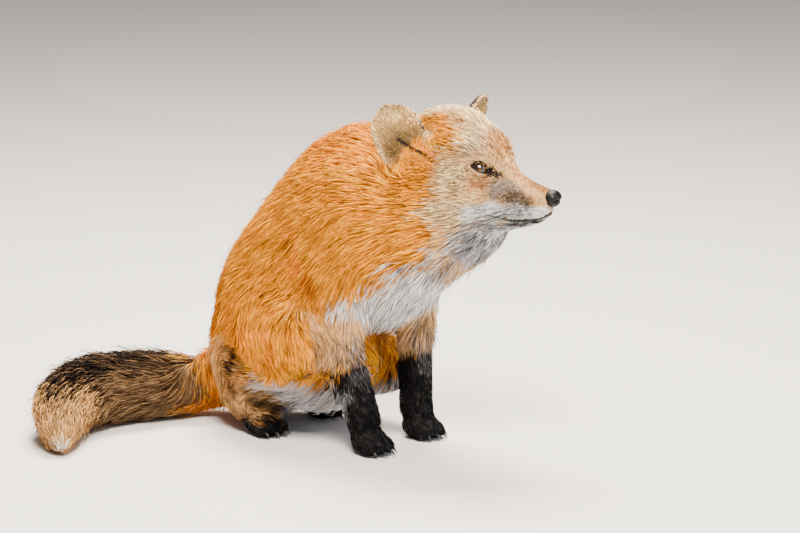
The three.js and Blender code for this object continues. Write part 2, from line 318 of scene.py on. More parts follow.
LAID = []
for s in (-1, 1):
    for stream in HEAD_STREAMS:
        stream = np.array(stream, float) * (1, s, 1, 1, 1)
        stream[:, :3] = from_head(stream[:, :3])
        LAID += sampled(stream)
    for stream in ear_streams(EARS[s]):
        stream = np.array(stream, float)
        stream[:, :3] = from_head(stream[:, :3])
        LAID += sampled(stream)
    for stream in TRUNK_STREAMS + leg_streams(s):
        LAID += sampled(np.array(stream, float) * (1, s, 1, 1, 1))
LAID = np.array(LAID + sampled(TAIL_STREAM))


def combed(points, nearest=7, soft=7.0):
    """The coat's direction, length and depth at each point, blended from the nearest places on streams."""
    direction, length, depth = np.empty_like(points), np.empty(len(points)), np.empty(len(points))
    for start in range(0, len(points), 4000):
        some = slice(start, start + 4000)
        gap = ((points[some, None] - LAID[None, :, :3]) ** 2).sum(2)
        chosen = np.argpartition(gap, nearest, axis=1)[:, :nearest]
        weight = 1 / (np.take_along_axis(gap, chosen, 1) + soft ** 2) ** 1.5
        weight /= weight.sum(1, keepdims=True)
        blend = (LAID[chosen][:, :, 3:] * weight[:, :, None]).sum(1)
        direction[some], length[some], depth[some] = blend[:, :3], blend[:, 3], blend[:, 4]
    return direction, length, depth


# ---- the skin ----
# One skin covers the whole fox, with no seam: the solids' outer shape, closed over at their cuts and taken
# in by the coat's depth, then worked finer on the face, where the lids, the lips and the ears' cups are.
# The parts are swollen a little, to run into each other, and the thin ears more, so that they last.
CLEAR_OF_SKIN = {"nose", "eye_right", "eye_left"}
SWELL = {"ears": 1.1, "others": 0.35}
VOXEL = 3.0
flesh = bmesh.new()
for name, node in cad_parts.items():
    if name in CLEAR_OF_SKIN:
        continue
    part = bmesh.new()
    part.from_mesh(node.data)
    bmesh.ops.remove_doubles(part, verts=part.verts, dist=1e-6)
    part.normal_update()
    swell = SWELL["ears" if name.startswith("ear_") else "others"]
    for vertex in part.verts:
        vertex.co += vertex.normal * swell / 1000
    copy = mesh_of("part", part)
    flesh.from_mesh(copy)
    bpy.data.meshes.remove(copy)
skin_mesh = mesh_of("skin", flesh)
skin = in_scene("skin", skin_mesh)
remesh = skin.modifiers.new("closed", "REMESH")
remesh.mode = "VOXEL"
remesh.voxel_size = VOXEL / 1000
evaluated = skin.evaluated_get(bpy.context.evaluated_depsgraph_get())
whole = bmesh.new()
whole.from_mesh(evaluated.to_mesh())
evaluated.to_mesh_clear()
skin.modifiers.clear()


def islands(bm):
    """The connected bodies of a mesh, each a list of its vertices, in an order that is always the same."""
    seen, found = set(), []
    for start in bm.verts:
        if start in seen:
            continue
        seen.add(start)
        body = [start]
        for vertex in body:
            for link in vertex.link_edges:
                other = link.other_vert(vertex)
                if other not in seen:
                    seen.add(other)
                    body.append(other)
        found.append(body)
    return sorted(found, key=len)


for body in islands(whole)[:-1]:
    bmesh.ops.delete(whole, geom=body, context="VERTS")


def raw(bm):
    """A mesh's vertices as they are kept, and its edges."""
    bm.verts.index_update()
    edges = np.array([[e.verts[0].index, e.verts[1].index] for e in bm.edges])
    return np.array([v.co for v in bm.verts]), edges


def arrays(bm):
    """A mesh's vertices in the fox's frame, and its edges."""
    spots, edges = raw(bm)
    return spots * 1000 - SHIFT, edges


def smoothed(points, edges, amount, rounds, keep=0.0):
    """Points drawn towards their neighbours' mean. keep gives back part of each round's shrinking."""
    count = np.bincount(edges.ravel(), minlength=len(points))[:, None]
    for turn in range(rounds):
        for step in (amount, -keep):
            if step == 0:
                continue
            total = np.zeros_like(points)
            for a, b in ((0, 1), (1, 0)):
                for axis in range(3):
                    total[:, axis] += np.bincount(edges[:, a], points[edges[:, b], axis], len(points))
            points = points + (total / count - points) * step
    return points


def normals_of(bm, points):
    place(bm, points)
    bm.normal_update()
    return np.array([v.normal for v in bm.verts])


def place(bm, points):
    for vertex, spot in zip(bm.verts, points.tolist()):
        vertex.co = spot


def refined(bm, near):
    """Cuts in two each edge whose ends are both near, and softens the mesh once."""
    points, edges = arrays(bm)
    close = near(points)
    fine = [edge for edge, ends in zip(bm.edges, close[edges].all(1)) if ends]
    place(bm, points)
    bmesh.ops.subdivide_edges(bm, edges=fine, cuts=1, use_grid_fill=True)
    place(bm, to_row(smoothed(*raw(bm), 0.5, 2, keep=0.5)))


# Where the mesh is worked finer, in millimetres along the head's axes.
FINE = {"face": (-112, 20), "under_face": -75, "over_cheeks": 20, "beside_crown": 34, "ears_back": -185,
        "round_eye": 17}


def on_face_or_ears(points):
    ahead, aside, level = in_head(points).T
    ears = (level > FINE["over_cheeks"]) & (ahead > FINE["ears_back"])
    ears = ears & (np.abs(aside) > FINE["beside_crown"])
    return (ahead > FINE["face"][0]) & (ahead < FINE["face"][1]) & (level > FINE["under_face"]) | ears


def by_an_eye(points):
    opening = (4 - EYE["back"], 6 + EYE["side"], 2 + EYE["rise"])
    return np.linalg.norm(one_side(in_head(points)) - opening, axis=1) < FINE["round_eye"]


points, edges = arrays(whole)
place(whole, to_row(smoothed(points, edges, 0.5, 6, keep=0.5)))
refined(whole, on_face_or_ears)
refined(whole, by_an_eye)
outer, edges = arrays(whole)

# The long hair of the brows and the crown carries the coat past the flesh: [centre, half sizes, rise].
BROWS = [[(-74, 17, 46), (32, 22, 28), 9], [(-100, 0, 76), (46, 42, 26), 6]]
for centre, half, rise in BROWS:
    from_brow = (one_side(in_head(outer)) - centre) / half
    share = 1 - eased(np.linalg.norm(from_brow, axis=1), 0, 1.2)
    outer = outer + normals_of(whole, outer) * (rise * share)[:, None]
flow, hair, depth = combed(outer)
part_places, part_names = [], []
for name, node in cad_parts.items():
    if name not in CLEAR_OF_SKIN:
        part_places += [np.array(face.center) * 1000 - SHIFT for face in node.data.polygons]
        part_names += [name] * len(node.data.polygons)
nearest_part = KDTree(len(part_places))
for index, spot in enumerate(part_places):
    nearest_part.insert(spot, index)
nearest_part.balance()
part_of = np.array([part_names[nearest_part.find(spot)[1]] for spot in outer])

STEPS = 4
points = outer
for step in range(STEPS):
    points = points - normals_of(whole, points) * (depth / STEPS)[:, None]
    soft = smoothed(points, edges, 0.5, 3)
    points = points + (soft - points) * np.clip((depth - 1.5) / 4, 0, 1)[:, None]

# Round each eye the skin rises over the ball as lids, and drops behind it inside their almond opening.
LIDS = {"half": 8.8, "upper": 5.7, "lower": 4.1, "level": -0.9, "slope": -0.08, "thick": 0.8, "round": 9.5,
        "fall": 0.9, "reach": 17, "sunk": 2.6}
# The bare skin where the tear runs, from the eye's front corner towards the nose.
TEAR = {"ahead": 11.5, "drop": 2.4, "slope": 0.25, "half_long": 5, "half_high": 2.1}


def eye_frame(s):
    """An eye's centre and its axes: outwards, along the slit towards the nose, and up across the slit."""
    centre = from_head([-EYE["back"], s * EYE["side"], EYE["rise"]])
    outwards = unit(np.array([0.65, s * 0.64, 0.41]) @ HEAD_AXES)
    forward = np.array([21, -s * 9, -4]) @ HEAD_AXES
    forward = unit(forward - outwards * (forward @ outwards))
    upward = np.cross(outwards, forward)
    return centre, np.array([outwards, forward, upward * np.sign(upward[2])])


def lid_line(turn):
    """The opening's edge, in millimetres along and up across the slit, at angles of one turn."""
    along = LIDS["half"] * np.cos(turn)
    rise = np.where(np.sin(turn) > 0, LIDS["upper"], -LIDS["lower"]) * np.abs(np.sin(turn)) ** 1.25
    return np.stack([along, rise + LIDS["level"] + LIDS["slope"] * along], -1)


def past_lids(along, up):
    """How far a place across the eye lies outside the opening."""
    edge = lid_line(np.linspace(-math.pi, math.pi, 181)) - (0, LIDS["level"])
    angle = np.arctan2(edge[:, 1], edge[:, 0])
    order = np.argsort(angle)
    away = np.interp(np.arctan2(up - LIDS["level"], along), angle[order], np.hypot(*edge.T)[order])
    return np.hypot(along, up - LIDS["level"]) - away


bare = np.zeros(len(points))
for s in (-1, 1):
    centre, axes = eye_frame(s)
    out, along, up_across = ((points - centre) @ axes.T).T
    past = past_lids(along, up_across)
    off_axis = np.hypot(along, up_across)
    front = (out > -9) & (off_axis < LIDS["reach"])
    ball = EYE["radius"] + LIDS["thick"]
    lid = np.sqrt(np.maximum(ball ** 2 - np.minimum(off_axis, LIDS["round"]) ** 2, 0))
    lid = lid - np.maximum(off_axis - LIDS["round"], 0) * LIDS["fall"]
    raised = out + (np.maximum(out, lid) - out) * (1 - eased(off_axis, 11, 16))
    raised = raised + (lid - raised) * (1 - eased(past, 1.5, 4.5))
    behind = np.sqrt(np.maximum((EYE["radius"] - LIDS["sunk"]) ** 2 - off_axis ** 2, 0))
    raised = raised + (behind - raised) * (1 - eased(past, -0.7, 0.3))
    points = points + axes[0] * np.where(front, raised - out, 0)[:, None]
    ahead = along - TEAR["ahead"]
    below = up_across + TEAR["drop"] + ahead * TEAR["slope"]
    tear = np.hypot(ahead / TEAR["half_long"], below / TEAR["half_high"])
    bare = np.maximum(bare, np.where(front, 1 - eased(np.minimum(past, tear * 2), 1.2, 2.0), 0))

# Grooves part the four toes of each paw.
GROOVES = {"aside": (-10.1, 0, 10.1), "deep": 2.6, "half": 3.2}
SIDES = ((-1, "right"), (1, "left"))
PAWS = {
    f"{paw}_{side}": {"at": (ahead, s * aside), "turn": s * turn, "long": long}
    for paw, ahead, aside, turn, long in (("forepaw", -3, 43.5, 4, 0), ("hind_paw", -145, 48, 8, 2))
    for s, side in SIDES
}
normals = normals_of(whole, points)
for paw in PAWS.values():
    turn = math.radians(paw["turn"])
    ahead = np.array([math.cos(turn), math.sin(turn)])
    across = np.array([-ahead[1], ahead[0]])
    from_paw = points[:, :2] - paw["at"]
    on_toes = eased(from_paw @ ahead, 10 + paw["long"], 20 + paw["long"]) * eased(-points[:, 2], -30, -18)
    on_toes = on_toes * (from_paw @ ahead < 60) * (np.abs(from_paw @ across) < 26)
    groove = np.min([np.abs(from_paw @ across - aside) for aside in GROOVES["aside"]], axis=0)
    dent = GROOVES["deep"] * on_toes * (1 - eased(groove, 0.5, GROOVES["half"]))
    points = points - normals * dent[:, None]

# The mouth is a shut line from under the nose to below the eyes, that the lips' dark edge fills.
MOUTH_LINE = [(-8, 0, -22), (-10, 5, -22.5), (-15, 8.5, -24), (-26, 11.5, -26.5), (-37, 13.5, -28.5),
              (-48, 16.5, -29), (-58, 20.5, -27), (-67, 25, -24.5), (-76, 29, -25.5), (-82, 31.5, -29)]
MOUTH_DEEP = 1.3


def run_through(stations, steps):
    """Places evenly along a smooth curve through stations, which may carry more than a place."""
    stations = np.array(stations, float)
    padded = np.vstack([2 * stations[0] - stations[1], stations, 2 * stations[-1] - stations[-2]])
    spots = np.linspace(0, len(stations) - 1, steps)
    part = np.minimum(spots.astype(int), len(stations) - 2)
    share = (spots - part)[:, None]
    a, b, c, d = (padded[part + shift] for shift in range(4))
    return 0.5 * (2 * b + (c - a) * share + (2 * a - 5 * b + 4 * c - d) * share ** 2
                  + (3 * b - a - 3 * c + d) * share ** 3)


mouth = run_through(MOUTH_LINE, 60)
mouth_places = np.vstack([from_head(mouth), from_head(mouth * (1, -1, 1))])
ahead, _, level = in_head(points).T
head_places = np.flatnonzero((ahead > -95) & (level < 0) & (level > -50))
gap = np.linalg.norm(points[head_places, None] - mouth_places[None], axis=2).min(1)
normals = normals_of(whole, points)
points[head_places] -= normals[head_places] * (MOUTH_DEEP * (1 - eased(gap, 0.3, 2.6)))[:, None]
bare[head_places] = np.maximum(bare[head_places], 1 - eased(gap, 0.9, 1.8))
normals = normals_of(whole, points)
flow = along_surface(flow, normals)

# Inside, the ears' cups show pale hair that fans out from the hollow, where a slit runs down to the front
# edge;
# the hollow is darkened with painted shade, black at the roots and olive at the tips. Their backs are short
# and black, and their rims are pale.
EAR_WIDE = 30
EAR_HAIR = {"inside": 8.0, "outside": 5.0, "by_slit": 2.5}
SLIT_DEEP = 3.0
EAR_SLIT = [(-161, 50, 51), (-159, 46, 47), (-150, 47, 43), (-139, 49, 40), (-128, 51, 36), (-119, 50, 31)]
inner, hollow, rim, back = np.zeros((4, len(points)))
for s, ear in EARS.items():
    mine = part_of == ("ear_right" if s < 0 else "ear_left")
    root, tip = from_head(ear["root"]), from_head(ear["tip"])
    rib = tip - root
    faces = unit(np.array(ear["faces"]) @ HEAD_AXES)
    across = unit(np.cross(rib, faces))
    height = np.clip((points - root) @ rib / (rib @ rib), 0, 1)
    half = EAR_WIDE * (0.8 + 0.32 * height) * np.sqrt(1.002 - height ** 3.2)
    aside = np.clip((points - root) @ across / half, -1, 1)
    facing = normals @ faces
    edge = np.maximum(eased(np.abs(aside), 0.72, 0.92), eased(height, 0.8, 0.95))
    inner[mine] = eased(facing, -0.1, 0.25)[mine]
    back[mine] = (1 - eased(facing, -0.6, -0.2))[mine]
    above_base = eased(height, 0.04, 0.25)
    rim[mine] = (np.maximum(np.clip(1 - inner - back, 0, 1), edge * inner) * above_base)[mine]
    inner[mine] *= above_base[mine]
    start = root + rib * 0.28 - across * 3
    from_start = np.linalg.norm(points - start, axis=1)
    # The hollow's mask is painted shade: full near the fan's start and gone 36 mm from it.
    hollow[mine] = (inner * (1 - eased(from_start, 6, 36)))[mine]
    fan = unit(points - start + faces * 3)
    inside = mine & (facing > 0.0)
    flow[inside] = unit(flow[inside] * 0.2 + fan[inside])
    hair[inside] = EAR_HAIR["inside"]
    hair[mine & (facing <= 0.0)] = EAR_HAIR["outside"]
    slit = from_head(run_through(np.array(EAR_SLIT) * (1, s, 1), 30))
    close = np.flatnonzero(np.linalg.norm(outer - start, axis=1) < 70)
    gap = np.linalg.norm(outer[close, None] - slit[None], axis=2).min(1)
    points[close] -= normals[close] * (SLIT_DEEP * (1 - eased(gap, 0.8, 4.0)))[:, None]
    bare[close] = np.maximum(bare[close], 1 - eased(gap, 1.5, 2.8))
    hair[close] = np.minimum(hair[close], EAR_HAIR["by_slit"] + gap * 0.6)
normals = normals_of(whole, points)
flow = along_surface(flow, normals)

# ---- the markings ----
# Skin and coat share one set of markings. Each is a soft ellipsoid that a colour fills, from the hair's
# root to its tip, in order from the ground colour of the back to the small dark marks of the face. A few of
# them are painted shade and painted light, as said where they stand.
COLOURS = {
    "rust": 0xbe5e00, "amber": 0xffa400, "deep": 0x8a4000, "orange": 0xf28600, "tan": 0xb4854f,
    "sand": 0xd0a068, "cream": 0xf9c284, "pale": 0xffdca4, "white": 0xfdfbfc, "ash": 0xc9c6cc,
    "grey": 0x8f8a8e, "slate": 0x66646c, "straw": 0xffd088, "olive": 0x80602e, "smoke": 0x66503c,
    "dusk": 0x3a2a22, "black": 0x08070a,
}
COLOURS = {name: linear(value) for name, value in COLOURS.items()}
# [root, tip, centre, half sizes, strength], in the fox's frame and alike on both sides
BODY_MARKS = [
    ["rust", "amber", (-90, 0, 180), (500, 500, 500), 1],
    ["deep", "orange", (-60, 0, 340), (130, 40, 40), 0.5],
    ["orange", "amber", (34, 62, 262), (54, 44, 56), 0.9],
    ["deep", "rust", (-208, 50, 135), (44, 56, 84), 0.55],
    ["deep", "orange", (-146, 92, 128), (58, 40, 46), 0.45],
    # Painted shade: a dark band along the shoulder's rear line, where the shoulder's form is shaded.
    ["deep", "orange", (-64, 78, 222), (12, 20, 34), 0.55],
    ["deep", "rust", (-46, 80, 186), (9, 20, 26), 0.6],
    # Painted shade: dark streaks between the locks of the mane.
    ["deep", "orange", (24, 76, 270), (12, 20, 26), 0.5],
    ["deep", "orange", (46, 74, 246), (8, 20, 20), 0.5],
    ["grey", "white", (-100, 0, 46), (78, 66, 46), 1],
]
# The white bib covers chest and throat below this line of [forward, level]. It ends behind the elbows, where
# the belly's white takes over. Forward of the throat its tips turn ashy: painted shadow of the head. Its
# slate roots are partly grey underfur and partly painted shade between the white tufts.
BIB = [(-30, 172), (29, 194), (60, 214), (86, 222), (98, 244), (112, 268)]
BIB_EDGE = {"ragged": 9, "top": (-6, 7), "behind": (-36, -22), "below": (96, 116), "throat": (76, 108)}
# the same, from the nose tip along the head's axes
HEAD_MARKS = [
    ["sand", "cream", (-70, 0, 10), (115, 80, 100), 1],
    ["orange", "amber", (-179, 55, 4), (66, 60, 68), 1],
    ["orange", "amber", (-138, 58, -38), (32, 30, 34), 1],
    ["orange", "amber", (-140, 48, 36), (26, 22, 26), 0.9],
    ["orange", "amber", (-160, 0, 70), (34, 50, 34), 0.8],
    # The pale crown: partly paler hair, partly painted light falling on the top of the head.
    ["sand", "pale", (-112, 0, 88), (50, 32, 24), 0.95],
    ["cream", "white", (-98, 0, 92), (24, 16, 14), 0.5],
    ["grey", "pale", (-84, 20, 56), (22, 22, 26), 0.7],
    ["rust", "amber", (-125, 36, 65), (31, 18, 27), 0.9],
    ["deep", "amber", (-110, 36, 56), (14, 12, 18), 0.6],
    ["deep", "sand", (-100, 20, 78), (10, 8, 9), 0.7],
    ["straw", "pale", (-99, 44, 18), (16, 14, 20), 0.9],
    ["rust", "tan", (-66, 8, 44), (12, 14, 16), 0.7],
    ["rust", "sand", (-42, 0, 20), (24, 12, 12), 0.7],
    ["rust", "tan", (-21, 0, 7), (15, 10, 8), 1],
    ["rust", "tan", (-76, 30, 10), (15, 10, 7), 0.8],
    ["black", "grey", (-51, 20, 2), (24, 11, 15), 0.75],
    ["black", "smoke", (-40, 18, -6), (22, 9, 10), 0.8],
    ["cream", "pale", (-92, 46, -20), (32, 26, 16), 1],
    ["white", "white", (-60, 26, -20), (58, 18, 10), 1],
    # Slate roots and ash tips under the jaw: painted shadow of the head on the white throat.
    ["slate", "ash", (-62, 12, -54), (44, 48, 24), 1],
    ["ash", "white", (-36, 0, -37), (46, 30, 14), 1],
    # The black lower lip, widened below the mouth and carried back along the jaw, where it is painted shadow
    # under the jaw's edge.
    ["black", "black", (-20, 9, -28.5), (16, 8, 3.6), 0.95],
    ["black", "dusk", (-42, 14, -34), (18, 9, 4.4), 0.85],
    ["dusk", "slate", (-62, 20, -39), (14, 10, 4), 0.6],
    ["white", "white", (-18, 12, -18), (14, 12, 7), 1],
    ["black", "black", (-68, 24, 21), (8, 6, 3.4), 1],
    ["black", "black", (-61, 20, 18), (7, 5, 3), 0.9],
    ["dusk", "dusk", (-55, 17, 14), (6, 4, 2.6), 0.6],
    # A dark line down and back from the eye's rear corner: painted shadow of the crease between the lower
    # lid's bulge and the cheek.
    *(["dusk", "smoke", (x, y, z), (1.8, 6, 4), strength] for x, y, z, strength in (
        (-86, 34, 23, 0.7), (-90, 38, 17, 0.65), (-93, 41, 10, 0.55), (-95, 43, 3, 0.5),
        (-96, 44, -4, 0.35))),
]
TAIL_MARKS = [
    ["tan", "smoke", (-290, -108, 40), (82, 112, 76), 1],
    ["smoke", "black", (-290, -95, 84), (60, 116, 24), 0.75],
    ["deep", "orange", (-211, 0, 40), (36, 46, 60), 1],
    ["tan", "cream", (-206, -6, 76), (16, 24, 16), 0.8],
    ["tan", "sand", (-278, -206, 28), (70, 62, 58), 1],
    ["dusk", "black", (-296, -172, 78), (66, 90, 18), 0.7],
    ["cream", "white", (-247, -256, 14), (24, 22, 20), 1],
]


def leg_marks(s):
    lean, knee = LEANS[s], KNEES[s]
    return [
        ["tan", "cream", (-40 + lean * 0.75, 50, 144), (42, 32, 30), 0.9],
        ["grey", "sand", (-34 + lean * 0.6, 48, 116), (46, 36, 26), 1],
        ["black", "black", (-14 + lean * 0.3, 45, 44), (48, 34, 63), 1],
        ["dusk", "grey", (-9 + lean * 0.5, 45, 104), (12, 20, 34), 0.5],
        ["black", "black", (14, 45, 8), (50, 44, 30), 1],
        ["grey", "ash", (-84, 56, knee * 0.3 + 22), (62, 40, 28), 0.8],
        ["rust", "sand", (-172, 62, 70), (42, 42, 50), 0.8],
        ["tan", "cream", (-176, 46, 26), (26, 26, 24), 0.8],
        *(["dusk", "black", (x, y, z), (8, 9, 13), 0.75]
          for x, y, z in ((-154, 79, 88), (-162, 76, 71), (-173, 66, 54), (-178, 66, 36))),
        ["tan", "sand", (-146, 52, 30), (40, 34, 26), 0.9],
        ["black", "black", (-126, 48, 6), (48, 40, 22), 1],
    ]


SPOTTING = 14.0  # millimetres between the ragged parts of a marking's edge
# How ragged the edge of a small or a large marking is, and where it begins and is full, in half sizes.
SMALL = 30
EDGES = {True: (0.3, 1.45, 0.6), False: (0.12, 1.2, 0.85)}


MINGLING = 0.3  # how wide a share of the hairs at a soft edge carries something of both its sides


def taken(cover, chance):
    """A marking's cover, drawn towards all or nothing by each hair's chance, where hairs have one."""
    return cover if chance is None else np.clip((cover - chance) / MINGLING + cover, 0, 1)


def painted(places, chance=None):
    """Each place's root and tip colours. With a chance for each, a hair takes one side of a soft edge."""
    layers = [(BODY_MARKS, one_side(places)), *((leg_marks(s), places * (1, s, 1)) for s in (-1, 1)),
              (TAIL_MARKS, places), (HEAD_MARKS, one_side(in_head(places)))]
    ragged = np.array([noise.noise(spot) for spot in map(Vector, places / SPOTTING)])
    forward, _, level = places.T
    bib = eased(np.interp(forward, *zip(*BIB)) - level + ragged * BIB_EDGE["ragged"], *BIB_EDGE["top"])
    bib = bib * eased(forward, *BIB_EDGE["behind"]) * eased(level, *BIB_EDGE["below"])
    root, tip = np.zeros_like(places), np.zeros_like(places)
    for marks, at in layers:
        for root_name, tip_name, centre, half, strength in marks:
            rough, begins, full = EDGES[min(half) < SMALL]
            reach = np.sqrt((((at - centre) / half) ** 2).sum(1)) + ragged * rough
            cover = taken(eased(-reach, -begins, -full) * strength, chance)[:, None]
            root += (COLOURS[root_name] - root) * cover
            tip += (COLOURS[tip_name] - tip) * cover
        if marks is BODY_MARKS:
            bib = taken(bib, chance)[:, None]
            # Slate roots under the whole bib: partly grey underfur, partly painted shade between the tufts.
            # Forward of the throat the tips turn ash: painted shadow of the head.
            throat = eased(forward, *BIB_EDGE["throat"])[:, None]
            root += (COLOURS["slate"] - root) * bib
            tip += (COLOURS["white"] * (1 - throat) + COLOURS["ash"] * throat - tip) * bib
    return root, tip


# The ears' coats, one for each mask; the hollow's black and olive are painted shade.
EAR_COATS = {"inner": ("tan", "straw"), "hollow": ("black", "olive"), "rim": ("straw", "pale"),
             "back": ("black", "dusk")}


def with_ears(root, tip, masks):
    """The colours with those of the ears laid over them, by their shares of each."""
    for share, (root_name, tip_name) in zip(masks.T, EAR_COATS.values()):
        root = root + (COLOURS[root_name] - root) * share[:, None]
        tip = tip + (COLOURS[tip_name] - tip) * share[:, None]
    return root, tip


def coloured(mesh, colours):
    """Keeps a colour for each vertex as the attribute that the coat's material reads."""
    kept = mesh.attributes.new("coat_colour", "FLOAT_COLOR", "POINT")
    opaque = np.hstack([colours, np.ones((len(colours), 1))])
    kept.data.foreach_set("color", opaque.astype(np.float32).ravel())


whole.to_mesh(skin_mesh)
skin_mesh.vertices.foreach_set("co", to_row(points).astype(np.float32).ravel())
skin_mesh.polygons.foreach_set("use_smooth", [True] * len(skin_mesh.polygons))
ear_masks = np.column_stack([inner, hollow, rim, back])
skin_root, skin_tip = with_ears(*painted(outer), ear_masks)
skin_colour = skin_root * 0.5 + skin_tip * 0.5
skin_colour += (COLOURS["black"] - skin_colour) * bare[:, None]
coloured(skin_mesh, skin_colour)
bpy.context.view_layer.objects.active = skin
skin.select_set(True)
bpy.ops.object.mode_set(mode="EDIT")
bpy.ops.mesh.select_all(action="SELECT")
bpy.ops.uv.smart_project(angle_limit=math.radians(66), island_margin=0.002)
bpy.ops.object.mode_set(mode="OBJECT")
skin_mesh.uv_layers[0].name = "OFBake"

# Short flat underfur: dull, in the markings' colours, broken by a grain as wide as a few hairs, so that
# the skin between two tufts reads as more fur and not as hide.
SKIN_GRAIN = 1.2


def grained(material, per_metre, detail, strength, distance):
    """Fine noise over a material, and the normal of a bump that follows it."""
    coordinates = add(material, "ShaderNodeTexCoord")
    grain = add(material, "ShaderNodeTexNoise", i0=coordinates.outputs["Object"], Scale=per_metre,
                Detail=detail)
    bump = add(material, "ShaderNodeBump", Height=grain.outputs["Fac"], Strength=strength,
               Distance=distance)
    return grain.outputs["Fac"], bump.outputs["Normal"]


hide = new_material("short_underfur")
grain, normal = grained(hide, 1000 / SKIN_GRAIN, 3.0, 0.6, 0.001)
colour = add(hide, "ShaderNodeAttribute", {"attribute_name": "coat_colour"})
shade = add(hide, "ShaderNodeMapRange", Value=grain, To_Min=0.35, To_Max=0.95)
mixed = add(hide, "ShaderNodeVectorMath", {"operation": "SCALE"}, i0=colour.outputs["Color"],
            Scale=shade.outputs["Result"])
surfaced(hide, Base_Color=mixed.outputs[0], Roughness=0.75, Normal=normal)
skin_mesh.materials.append(hide)
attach(skin, "root")
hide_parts(*[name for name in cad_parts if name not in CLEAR_OF_SKIN])

# ---- the eyes ----
# Each eye is a wet ball with a clear bulge over an amber iris and an upright slit of a pupil. Three
# quarters of it lie behind the lids.
IRIS = {"radius": 6.2, "pupil_wide": 1.7, "pupil_high": 4.6, "bulge": 0.9}
EYE_COLOURS = {"pupil": 0x050404, "iris": 0x4e3010, "iris_edge": 0x180b04, "white": 0x1d110b}


def placed(piece_name, mesh, material, slot, *nodes):
    """Links a piece's mesh, smooth, with its material, and hands it to the frame."""
    mesh.polygons.foreach_set("use_smooth", [True] * len(mesh.polygons))
    mesh.materials.append(material)
    piece = in_scene(piece_name, mesh)
    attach(piece, "root")
    if nodes:
        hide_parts(*nodes)
    return piece


# A wet cornea over the iris: sharp bright reflections on a dark ball, from a tear film like clear lacquer.
wet_eye = new_material("wet_eye")
colour = add(wet_eye, "ShaderNodeAttribute", {"attribute_name": "coat_colour"})
surfaced(wet_eye, Base_Color=colour.outputs["Color"], Roughness=0.06, IOR=1.38, Coat_Weight=1.0,
         Coat_Roughness=0.02)
for s, side in SIDES:
    centre, _ = eye_frame(s)
    gaze = unit(np.array([0.80, s * 0.57, 0.16]) @ HEAD_AXES)
    level = unit(np.cross([0, 0, 1], gaze))
    axes = np.array([level, np.cross(gaze, level), gaze])
    ball = bmesh.new()
    bmesh.ops.create_uvsphere(ball, u_segments=96, v_segments=96, radius=1)
    spots = np.array([v.co for v in ball.verts])
    across = np.hypot(spots[:, 0], spots[:, 1]) * EYE["radius"]
    ahead = spots[:, 2] > 0
    swell = np.where(ahead, IRIS["bulge"] * (1 - eased(across, 0, IRIS["radius"] + 1)), 0)
    slit = np.hypot(spots[:, 0] * EYE["radius"] / IRIS["pupil_wide"],
                    spots[:, 1] * EYE["radius"] / IRIS["pupil_high"])
    streak = np.array([noise.noise((math.cos(a) * 9, math.sin(a) * 9, 0))
                       for a in np.arctan2(spots[:, 1], spots[:, 0])])
    tones = {name: linear(value) for name, value in EYE_COLOURS.items()}
    depth_in = eased(across / IRIS["radius"] + streak * 0.25, 0.35, 1.0)[:, None]
    look = tones["iris"] + (tones["iris_edge"] - tones["iris"]) * depth_in
    around = np.where(ahead, eased(across, IRIS["radius"] - 0.3, IRIS["radius"] + 0.2), 1)[:, None]
    look = look + (tones["white"] - look) * around
    look = look + (tones["pupil"] - look) * np.where(ahead, 1 - eased(slit, 0.85, 1.1), 0)[:, None]
    place(ball, to_row(centre + (spots @ axes) * (EYE["radius"] + swell)[:, None]))
    ball.normal_update()
    mesh = mesh_of("eyeball_" + side, ball)
    coloured(mesh, look)
    placed("eyeball_" + side, mesh, wet_eye, "eye", "eye_" + side)

# ---- the eyes' rims ----
# The lids' bare black edges, thick and moist, that close on the ball in an almond and run out forwards
# into the tear's corner.
RIM = {"upper": 2.6, "lower": 1.3, "corner": 5.4, "rear": 2.2, "thick": 0.6, "steps": 96, "sides": 10}


def all_round(count):
    """Angles evenly round a full turn."""
    return np.linspace(0, 2 * math.pi, count, endpoint=False)


def swept(name, rings, closed=False):
    """A closed mesh through rings of points: capped at its ends, or joined end to end."""
    rings = np.array(rings)
    count, sides = rings.shape[:2]
    bm = bmesh.new()
    verts = [[bm.verts.new(p) for p in ring] for ring in to_row(rings).tolist()]
    last = count if closed else count - 1
    for i in range(last):
        here, there = verts[i], verts[(i + 1) % count]
        for j in range(sides):
            k = (j + 1) % sides
            bm.faces.new((here[j], here[k], there[k], there[j]))
    if not closed:
        bm.faces.new(verts[0][::-1])
        bm.faces.new(verts[-1])
    bmesh.ops.recalc_face_normals(bm, faces=bm.faces)
    return mesh_of(name, bm)


